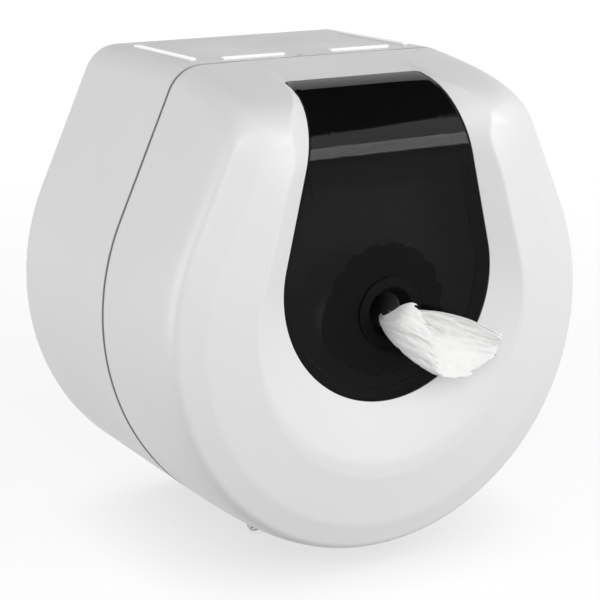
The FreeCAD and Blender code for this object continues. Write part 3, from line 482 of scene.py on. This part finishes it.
def gather(parts):
    """Several meshes of vertices and faces as one."""
    vertices, faces = [], []
    for points, polygons in parts:
        start = len(vertices)
        vertices += [tuple(point) for point in points]
        faces += [tuple(start + index for index in polygon) for polygon in polygons]
    return vertices, faces


def turned_ring(profile, origin, axis):
    """A closed profile of distances along an axis and from it, turned about the axis."""
    axis = np.array(axis, float)
    first = np.cross(axis, OFF_AXIS)
    first /= np.linalg.norm(first)
    second = np.cross(axis, first)
    turns = np.arange(RING_SIDES) * 2 * math.pi / RING_SIDES
    around = np.cos(turns)[:, None] * first + np.sin(turns)[:, None] * second
    along, out = np.array(profile, float).T
    points = np.array(origin, float) + along[None, :, None] * axis + out[None, :, None] * around[:, None]
    rows = len(profile)
    faces = []
    for i in range(RING_SIDES):
        a, b = i * rows, (i + 1) % RING_SIDES * rows
        faces += [(a + j, b + j, b + (j + 1) % rows, a + (j + 1) % rows) for j in range(rows)]
    return points.reshape(-1, 3), faces


def chamfered(low, high, inner, outer, edge):
    """A ring's section with its outer edges broken."""
    return [(low, inner), (low, outer - edge), (low + edge, outer),
            (high - edge, outer), (high, outer - edge), (high, inner)]


def prism(outline, low, high):
    """An outline of depths and heights, extruded across from low to high."""
    count = len(outline)
    points = [(x, *spot) for x in (low, high) for spot in outline]
    faces = [tuple(range(count)), tuple(range(2 * count - 1, count - 1, -1))]
    faces += [(i, i + count, (i + 1) % count + count, (i + 1) % count) for i in range(count)]
    return points, faces


# Materials

def set_inputs(node, values):
    for key, value in values.items():
        node.inputs[key].default_value = value


def new_material(name):
    material = bpy.data.materials.new(name)
    material.use_nodes = True
    tree = material.node_tree
    return material, tree, tree.nodes["Principled BSDF"]


def add_node(tree, kind, inputs=None, **settings):
    node = tree.nodes.new(kind)
    for key, value in settings.items():
        setattr(node, key, value)
    set_inputs(node, inputs or {})
    return node


def combine(tree, operation, first, second):
    """Two values in one Math node."""
    node = add_node(tree, "ShaderNodeMath", operation=operation)
    tree.links.new(first, node.inputs[0])
    tree.links.new(second, node.inputs[1])
    return node.outputs[0]


def ramp(tree, source, given, wanted):
    """A range of a value turned into a range of another."""
    node = add_node(tree, "ShaderNodeMapRange", dict(zip(
        ("From Min", "From Max", "To Min", "To Max"), (*given, *wanted))))
    tree.links.new(source, node.inputs["Value"])
    return node.outputs["Result"]


def object_coordinates(tree):
    return add_node(tree, "ShaderNodeTexCoord").outputs["Object"]


def noise_texture(tree, scale, detail=3.0, stretch=None):
    """Noise in the object's own space, or with a scale for each axis in stretch."""
    node = add_node(tree, "ShaderNodeTexNoise", {"Scale": scale, "Detail": detail})
    place = object_coordinates(tree)
    if stretch:
        mapping = add_node(tree, "ShaderNodeMapping", {"Scale": stretch})
        tree.links.new(place, mapping.inputs["Vector"])
        place = mapping.outputs["Vector"]
    tree.links.new(place, node.inputs["Vector"])
    return node.outputs["Fac"]


def bump(tree, shader, height, strength, distance):
    node = add_node(tree, "ShaderNodeBump", {"Strength": strength, "Distance": distance})
    tree.links.new(height, node.inputs["Height"])
    tree.links.new(node.outputs["Normal"], shader.inputs["Normal"])


def uneven_gloss(tree, shader, factor, roughness, given=(0.3, 0.7)):
    """A roughness that drifts between two values."""
    tree.links.new(ramp(tree, factor, given, roughness), shader.inputs["Roughness"])


def mottled(tree, shader, factor, dark, light):
    """A base colour that drifts slightly between two shades."""
    node = add_node(tree, "ShaderNodeMix", data_type="RGBA")
    colours = [socket for socket in node.inputs if socket.type == "RGBA"]
    colours[0].default_value = (*dark, 1)
    colours[1].default_value = (*light, 1)
    tree.links.new(factor, node.inputs[0])
    result = [socket for socket in node.outputs if socket.type == "RGBA"][0]
    tree.links.new(result, shader.inputs["Base Color"])


def openness(tree, reach, given, darkest, own=False):
    """1 in the open, and down to the darkest value where surfaces, or only the piece's own, stand close."""
    crevice = add_node(tree, "ShaderNodeAmbientOcclusion", {"Distance": reach},
                       samples=CREVICE_RAYS, only_local=own)
    return ramp(tree, crevice.outputs["AO"], given, (darkest, 1.0))


def paint_crevice_shade(tree, shader, light):
    """Paint shade into the base colour where it is not in the open, as in a parting seam: painted crevice
    shade.
    """
    source = shader.inputs["Base Color"].links[0].from_socket
    scaled = add_node(tree, "ShaderNodeVectorMath", operation="SCALE")
    tree.links.new(source, scaled.inputs[0])
    tree.links.new(light, scaled.inputs["Scale"])
    tree.links.new(scaled.outputs["Vector"], shader.inputs["Base Color"])


def gloss_plastic(name, dark, light, roughness, glow=0.0):
    """Moulded gloss plastic: a faint orange peel, slightly uneven gloss, painted shade in its parting lines
    and crevices, and an optional painted glow.
    """
    material, tree, shader = new_material(name)
    mottled(tree, shader, noise_texture(tree, scale=22), dark, light)
    # Painted shade: the base colour is darkened where ambient occlusion finds surfaces close, as in the seam
    # and keyhole.
    paint_crevice_shade(tree, shader, openness(tree, reach=0.004, given=(0.15, 0.75), darkest=0.03))
    uneven_gloss(tree, shader, noise_texture(tree, scale=30, detail=0), (roughness * 0.9, roughness * 1.1))
    bump(tree, shader, noise_texture(tree, scale=60, detail=0), strength=0.03, distance=0.0002)
    # glow is a painted glow: light that the part gives off though it is no lamp.
    set_inputs(shader, {
        "Specular IOR Level": 0.45, "Emission Color": (1, 1, 1, 1), "Emission Strength": glow})
    return material


def smoked_plastic():
    """Dark clear plastic, which lets less through at the top, where it bends over the cover's edge."""
    material, tree, shader = new_material("smoked_window")
    mottled(tree, shader, noise_texture(tree, scale=30), (0.003, 0.003, 0.0035), (0.005, 0.005, 0.0055))
    uneven_gloss(tree, shader, noise_texture(tree, scale=70, detail=4), (0.045, 0.085), given=(0.35, 0.7))
    bump(tree, shader, noise_texture(tree, scale=45, detail=1), strength=0.03, distance=0.0003)
    set_inputs(shader, {"Specular IOR Level": 0.1})
    height = add_node(tree, "ShaderNodeSeparateXYZ")
    tree.links.new(object_coordinates(tree), height.inputs[0])
    tree.links.new(ramp(tree, height.outputs["Z"], (0.06, 0.09), (0.69, 0.98)), shader.inputs["Alpha"])
    return material


def satin_plastic(name, dark, light, roughness, specular):
    """Moulded plastic with a fine grain, and painted shade in its crevices and holes."""
    material, tree, shader = new_material(name)
    mottled(tree, shader, noise_texture(tree, scale=60), dark, light)
    # Painted shade: the base colour is darkened by ambient occlusion, as inside the latch keyhole and the
    # outlet.
    paint_crevice_shade(tree, shader, openness(tree, reach=0.012, given=(0.15, 0.75), darkest=0.02))
    uneven_gloss(tree, shader, noise_texture(tree, scale=500), (roughness * 0.85, roughness * 1.15))
    bump(tree, shader, noise_texture(tree, scale=1800, detail=2), strength=0.12, distance=0.0002)
    set_inputs(shader, {"Specular IOR Level": specular})
    return material


def brushed_metal(name, shade, roughness):
    """Drawn steel with fine streaks along X."""
    material, tree, shader = new_material(name)
    streaks = noise_texture(tree, scale=1.0, detail=2.0, stretch=(60, 2200, 2200))
    mottled(tree, shader, streaks, [shade * 0.9] * 3, [shade * 1.08] * 3)
    uneven_gloss(tree, shader, streaks, (roughness * 0.8, roughness * 1.2))
    bump(tree, shader, streaks, strength=0.08, distance=0.0001)
    set_inputs(shader, {"Metallic": 1.0})
    return material


def tissue_paper(name, crepe, shadow_reach):
    """Soft creped tissue: fine ridges, finest along the axes with the largest crepe, a fibre mottle, and
    painted shade where its own surfaces stand close.
    """
    material, tree, shader = new_material(name)
    mottled(tree, shader, noise_texture(tree, scale=260, detail=5), (0.80, 0.80, 0.79), (0.90, 0.90, 0.89))
    ridges = noise_texture(tree, scale=1.0, detail=4.0, stretch=crepe)
    bump(tree, shader, ridges, strength=0.35, distance=0.0004)
    # Painted shade: the base colour is darkened by the piece's own ambient occlusion, in the folds of the
    # torn sheet and deep in the roll's core.
    paint_crevice_shade(tree, shader, openness(tree, shadow_reach, given=(0.4, 0.9), darkest=0.03, own=True))
    set_inputs(shader, {
        "Roughness": 0.9, "Specular IOR Level": 0.2, "Sheen Weight": 0.15,
        "Subsurface Weight": 0.25, "Subsurface Scale": 0.002, "Subsurface Radius": (1, 1, 1)})
    return material


WHITE = gloss_plastic("case_white", (0.70, 0.70, 0.705), (0.72, 0.72, 0.725), roughness=0.36)
# Painted glow: the top strips emit a little light, so that they read brighter white than the lamps make them.
STRIP = gloss_plastic("strip_white", (0.93, 0.93, 0.93), (0.96, 0.96, 0.96), roughness=0.2, glow=0.2)
SMOKED = smoked_plastic()
BLACK = satin_plastic("black_plastic", (0.003, 0.003, 0.0035), (0.006, 0.006, 0.0065),
                      roughness=0.6, specular=0.05)
ACETAL = satin_plastic("latch_plastic", (0.72, 0.72, 0.70), (0.80, 0.80, 0.78),
                       roughness=0.45, specular=0.45)
STEEL = brushed_metal("pin_steel", shade=0.58, roughness=0.3)
SPRING_WIRE = brushed_metal("spring_steel", shade=0.5, roughness=0.25)
TISSUE = tissue_paper("tissue", crepe=(300, 300, 900), shadow_reach=0.007)
WOUND = tissue_paper("wound_tissue", crepe=(900, 120, 900), shadow_reach=0.08)

SLOT_MATERIALS = {
    "case_white": WHITE, "strip_white": STRIP, "smoked_window": SMOKED, "black_plastic": BLACK,
    "latch_plastic": ACETAL, "pin_steel": STEEL, "screw_steel": STEEL, "spring_steel": SPRING_WIRE,
    "tissue": WOUND,
}


def dress_nodes():
    """Give every CAD node the material of its slot."""
    for part in frame["record"]["subparts"]:
        mesh = NODES[part["node"]].data
        mesh.materials.clear()
        mesh.materials.append(SLOT_MATERIALS[part["material_slot"]])


# Pieces

def make_cover():
    """The moulded front cover, with its hinge knuckles and the posts that the latch keeper is screwed to."""
    case_x, case_z = outline_points(lambda x, z: outline_distance(
        x, z, BODY_RADIUS, FLANK_LEAN, top=TOP_HEIGHT, corner=CORNER_RADIUS), GRID_HEIGHT)
    edge_x, edge_z = outline_points(window_distance, GRID_HEIGHT)
    seam = np.stack([case_x, np.full(COLUMNS, COVER_REAR), case_z], 1)
    edge = np.stack([edge_x, floor_depth(edge_z), edge_z], 1)
    outside = resample(chord_profiles(seam, edge, cover_distance), COVER_ROWS, COVER_BEND_WEIGHT)
    outside[:, -1] = edge
    outside[:, 1:, 1] = np.maximum(outside[:, 1:, 1], COVER_REAR + SEAM_CHAMFER)
    outside[:, 0] = drawn_in(seam, SEAM_CHAMFER)

    inner_seam = drawn_in(seam, CASE_WALL)
    inner_edge = edge - CASE_WALL * floor_normal(edge_z)
    inside = resample(chord_profiles(inner_seam, inner_edge, lambda x, depth, z: cover_distance(
        x, depth, z, CASE_WALL)), LINING_ROWS, LINING_BEND_WEIGHT)
    inside[:, -1] = inner_edge
    inside[:, 0] = inner_seam

    profile = np.concatenate([outside, inside[:, ::-1], outside[:, :1]], 1)
    parts = [(profile.reshape(-1, 3), grid_faces(COLUMNS, profile.shape[1]))]
    root = -math.sqrt((BODY_RADIUS - CASE_WALL) ** 2 - (KNUCKLE_OUTER - KNUCKLE_WIDTH) ** 2)
    web = [
        (HINGE_DEPTH + WEB_REAR, HINGE_HEIGHT + WEB_HALF_HEIGHT),
        (COVER_REAR, HINGE_HEIGHT + KNUCKLE_RADIUS), (COVER_REAR, root),
        (COVER_REAR + KNUCKLE_ROOT, root), (COVER_REAR + KNUCKLE_ROOT, root - CASE_WALL),
        (HINGE_DEPTH + WEB_REAR, HINGE_HEIGHT - WEB_HALF_HEIGHT),
    ]
    for side in (-1, 1):
        low, high = sorted((side * KNUCKLE_OUTER, side * (KNUCKLE_OUTER - KNUCKLE_WIDTH)))
        knuckle = chamfered(low, high, PIN_BORE, KNUCKLE_RADIUS, KNUCKLE_EDGE)
        parts.append(turned_ring(knuckle, (0, HINGE_DEPTH, HINGE_HEIGHT), (1, 0, 0)))
        parts.append(prism(web, low, high))
    post = chamfered(POST_LOW, POST_HIGH, POST_BORE, POST_RADIUS, POST_EDGE)
    for across in POST_PLACES:
        parts.append(turned_ring(post, (across, POST_DEPTH, 0), (0, 0, 1)))
    vertices, faces = gather(parts)
    cover = make_object("cover_shell", to_frame(vertices), faces, WHITE, sharp=45)
    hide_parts("front_cover")
    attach(cover, "cover")


def make_window():
    """The smoked window: its face, rounded edge, the flange behind the cover, and the rim at its back."""
    edge_x, edge_z = outline_points(lambda x, z: window_distance(x, z, WINDOW_CLEARANCE), OUTLET_HEIGHT)
    hole_x, hole_z = ACROSS * OUTLET_HOLE, OUTLET_HEIGHT + UP * OUTLET_HOLE
    share = np.linspace(0, 1, PROFILE_SAMPLES)[None, :]
    across = edge_x[:, None] + share * (hole_x - edge_x)[:, None]
    up = edge_z[:, None] + share * (hole_z - edge_z)[:, None]
    face = np.stack([across, floor_depth(up), up], 2)

    edge = face[:, 0]
    tangent = np.roll(edge, -1, 0) - np.roll(edge, 1, 0)
    normal = floor_normal(edge_z)
    outward = np.cross(tangent, normal)
    outward /= np.linalg.norm(outward, axis=1)[:, None]
    outward *= np.sign((outward * (edge - [0, FLOOR_DEPTH, OUTLET_HEIGHT])).sum(1))[:, None]

    def rim(margin, behind):
        return (edge + margin * outward - behind * normal)[:, None]

    rounding = WINDOW_EDGE_ROUNDING
    fillet = [rim(-rounding + rounding * math.sin(turn), rounding - rounding * math.cos(turn))
              for turn in np.linspace(0, math.pi / 2, ROUNDING_ROWS)]
    rows = resample(face, WINDOW_ROWS, WINDOW_BEND_WEIGHT)
    inset = np.linalg.norm(rows - edge[:, None], axis=2) > FACE_START * rounding
    front = rows[:, int(np.argmax(inset.all(0))):]
    back = front - WINDOW_THICKNESS * floor_normal(front[..., 2])
    profile = np.concatenate([
        front[:, ::-1], *fillet, rim(0, FLANGE_FRONT), rim(FLANGE_MARGIN, FLANGE_FRONT),
        rim(FLANGE_MARGIN, FLANGE_REAR), rim(-RIM_WIDTH, FLANGE_REAR), rim(-RIM_WIDTH, WINDOW_THICKNESS),
        back[:, BACK_START::BACK_STEP], back[:, -1:], front[:, -1:],
    ], 1)
    window = make_grid("window_pane", profile, SMOKED, sharp=40)
    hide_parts("window")
    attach(window, "cover")


def make_spring():
    """The latch's coil spring, built at its rest length; the real spring shortens as the latch goes down."""
    low, high = (np.array(tuple(corner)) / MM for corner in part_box("latch_spring"))
    middle = (low + high) / 2
    radius = (high[0] - low[0]) / 2 - WIRE_RADIUS
    bottom, top = low[2] + WIRE_RADIUS, high[2] - WIRE_RADIUS
    share = np.linspace(0, 1, SPRING_TURNS * SPRING_STEPS + 1)
    turn = share * SPRING_TURNS * 2 * math.pi
    centre = np.stack([middle[0] + radius * np.cos(turn), middle[1] + radius * np.sin(turn),
                       bottom + share * (top - bottom)], 1)
    out = np.stack([np.cos(turn), np.sin(turn), np.zeros(len(turn))], 1)
    around = (np.arange(WIRE_SIDES) * 2 * math.pi / WIRE_SIDES)[:, None, None]
    tube = centre[None] + WIRE_RADIUS * (
        np.cos(around) * out[None] + np.sin(around) * np.array([0.0, 0.0, 1.0]))
    rows = len(turn)
    ends = [tuple(k * rows + row for k in range(WIRE_SIDES)) for row in (0, rows - 1)]
    spring = make_object("latch_coil", tube.reshape(-1, 3) * MM, grid_faces(WIRE_SIDES, rows) + ends,
                         SPRING_WIRE, sharp=50)
    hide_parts("latch_spring")
    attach(spring, "housing")
    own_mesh(spring)


def make_roll():
    """The wound roll, whose ends step in and out layer by layer along a spiral."""
    corners = np.array([tuple(corner) for corner in NODES["paper_roll"].bound_box]) / MM
    low, high = corners.min(0), corners.max(0)
    radius, height = (high[0] - low[0]) / 2, (high[2] + low[2]) / 2
    rear, front = -high[1], -low[1]
    turns = np.arange(ROLL_COLUMNS) * 2 * math.pi / ROLL_COLUMNS

    def rings(out, depth):
        across, up = np.sin(turns)[:, None] * out, height + np.cos(turns)[:, None] * out
        return np.stack([across, np.broadcast_to(depth, across.shape), up], 2)

    out = np.linspace(ROLL_CORE, radius - ROLL_EDGE, ROLL_ROWS)
    pitch = (radius - ROLL_CORE) / ROLL_LAYERS
    layer = (out[None, :] - ROLL_CORE) / pitch + turns[:, None] / (2 * math.pi)
    whole = np.floor(layer)
    unevenness = np.array([noise.noise((k * LAYER_FREQUENCY, *LAYER_SEED))
                           for k in range(ROLL_LAYERS + 3)])
    step = LAYER_STEP + LAYER_UNEVENNESS * unevenness[np.clip(whole.astype(int), 0, len(unevenness) - 1)]
    relief = LAYER_CURL * (layer - whole) ** 3 + step
    inset = relief + CORE_SAG * np.exp(-(out[None, :] - ROLL_CORE) / CORE_SAG_REACH) + END_INSET
    front_end, rear_end = rings(out, front - inset), rings(out, rear + inset)
    core = [rings(np.array([spread]), rear + depth) for spread, depth in (
        (CORE_PINHOLE, CORE_REAR), (CORE_PINHOLE, CORE_FLOOR), (ROLL_CORE, CORE_FLOOR))]
    profile = np.concatenate([front_end, rear_end[:, ::-1], *core, front_end[:, :1]], 1)
    roll = make_grid("wound_roll", profile, WOUND)
    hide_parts("paper_roll")
    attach(roll, "housing")


def wrinkle(v, u):
    """Folds and ripples of the tissue, at a place across it and along it."""
    fold = noise.fractal((v * FOLD_FREQUENCY[0], u * FOLD_FREQUENCY[1], FOLD_SEED), *FOLD_FRACTAL)
    ripple = noise.noise((v * RIPPLE_FREQUENCY[0], u * RIPPLE_FREQUENCY[1], RIPPLE_SEED))
    return fold + RIPPLE_SHARE * ripple


def make_tissue():
    """The torn sheet that hangs out of the outlet."""
    across = np.linspace(0, STRIP_STATIONS.shape[1] - 1, STRIP_COLUMNS)
    lines = spline(STRIP_STATIONS.transpose(1, 0, 2), across)
    torn = np.interp(across, TEAR_PLACES, TEAR_ENDS)
    ragged = np.array([noise.fractal((v * TEAR_FREQUENCY, *TEAR_SEED), *TEAR_FRACTAL) for v in across])
    torn = torn + np.interp(across, RAGGED_PLACES, RAGGED_REACH) * ragged
    points = np.array([spline(line, np.linspace(0, end, STRIP_ROWS)) for line, end in zip(lines, torn)])
    along = np.linspace(0, 1, STRIP_ROWS)[None, :] * torn[:, None]
    normal = np.cross(np.gradient(points, axis=0), np.gradient(points, axis=1))
    normal /= np.maximum(np.linalg.norm(normal, axis=2, keepdims=True), NEARLY_ZERO)
    wrinkles = np.array([[wrinkle(v, u) for u in row] for v, row in zip(across, along)])
    reach = np.clip(along / CALM_STATIONS, CALM_SHARE, 1)
    points = points + STRIP_WRINKLE * (wrinkles * reach)[..., None] * normal
    strip = make_grid("tissue_strip", points, TISSUE, closed=False)
    thickness = strip.modifiers.new("thickness", "SOLIDIFY")
    thickness.thickness = STRIP_THICKNESS * MM
    thickness.offset = 0
    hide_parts("tissue_tail")
    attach(strip, "cover")


# Stage

def make_camera():
    data = bpy.data.cameras.new("camera")
    data.sensor_width = SENSOR_WIDTH
    data.lens = CAMERA_LENS
    camera = bpy.data.objects.new("camera", data)
    turn, rise, roll = (math.radians(angle) for angle in (CAMERA_TURN, CAMERA_RISE, CAMERA_ROLL))
    back = Vector((-math.sin(turn) * math.cos(rise), -math.cos(turn) * math.cos(rise), math.sin(rise)))
    right = Vector((math.cos(turn), -math.sin(turn), 0))
    up = back.cross(right)
    right, up = math.cos(roll) * right + math.sin(roll) * up, math.cos(roll) * up - math.sin(roll) * right
    facing = Matrix((right, up, back)).transposed().to_4x4()
    camera.matrix_world = Matrix.Translation(CAMERA_PLACE) @ facing
    bpy.context.scene.collection.objects.link(camera)
    bpy.context.scene.camera = camera


def seen_directly(tree):
    """1 for rays that show the background: straight from the camera, in a reflection or through glass."""
    path = add_node(tree, "ShaderNodeLightPath").outputs
    straight_or_mirrored = combine(tree, "MAXIMUM", path["Is Camera Ray"], path["Is Glossy Ray"])
    return combine(tree, "MAXIMUM", straight_or_mirrored, path["Is Transmission Ray"])


def make_world():
    world = bpy.data.worlds.new("studio")
    bpy.context.scene.world = world
    world.use_nodes = True
    tree = world.node_tree
    background = tree.nodes["Background"]
    tree.links.new(ramp(tree, seen_directly(tree), (0, 1), (AMBIENT, 1.0)), background.inputs["Strength"])
    background.inputs["Color"].default_value = (1, 1, 1, 1)


def stage_plane(name, size, place, shade):
    """A matt plane of the stage, with its material's node tree and shader."""
    bpy.ops.mesh.primitive_plane_add(size=size, location=place)
    plane = bpy.context.object
    plane.name = name
    material, tree, shader = new_material(name)
    set_inputs(shader, {"Base Color": (shade, shade, shade, 1), "Specular IOR Level": 0.0})
    plane.data.materials.append(material)
    return plane, tree, shader


def make_card(name, size, place, mirrored):
    """A dark card of the studio, which the camera does not see."""
    card = stage_plane(name, 1, place, CARD_SHADE)[0]
    card.scale = (*size, 1)
    card.visible_camera = False
    card.visible_glossy = mirrored
    card.visible_diffuse = not mirrored


def make_floor():
    """A pale floor that turns white away from the object and keeps its shadow from the lamps, with a painted
    contact shadow where the object stands close.
    """
    height = CAD_BOX[0].z - FLOOR_GAP
    floor, tree, shader = stage_plane("floor", FLOOR_SIZE, (0, 0, height), FLOOR_SHADE)
    set_inputs(shader, {"Roughness": 0.9, "Emission Color": (1, 1, 1, 1), "Alpha": FLOOR_SOLIDITY})
    distance = add_node(tree, "ShaderNodeVectorMath", operation="LENGTH")
    tree.links.new(object_coordinates(tree), distance.inputs[0])
    glow = ramp(tree, distance.outputs["Value"], GLOW_DISTANCES, GLOW)
    # Painted contact shadow: the floor's own light is dimmed by ambient occlusion under the object.
    glow = combine(tree, "MULTIPLY", glow, openness(tree, CONTACT_SHADOW_REACH, given=(0.1, 0.8), darkest=0.0))
    glow = combine(tree, "MULTIPLY", glow, seen_directly(tree))
    tree.links.new(glow, shader.inputs["Emission Strength"])
    floor.active_material.cycles.emission_sampling = "NONE"


def area_light(name, place, target, size, power):
    data = bpy.data.lights.new(name, "AREA")
    data.shape = "RECTANGLE"
    data.size, data.size_y = size
    data.energy = power
    light = bpy.data.objects.new(name, data)
    light.location = place
    light.rotation_euler = (Vector(target) - Vector(place)).to_track_quat("-Z", "Y").to_euler()
    bpy.context.scene.collection.objects.link(light)


def make_stage():
    make_camera()
    make_world()
    make_floor()
    for card in CARDS:
        make_card(*card)
    for softbox in SOFTBOXES:
        area_light(*softbox)


dress_nodes()
make_cover()
make_window()
make_spring()
make_roll()
make_tissue()
make_stage()

scene = bpy.context.scene
scene.view_settings.view_transform = "Standard"
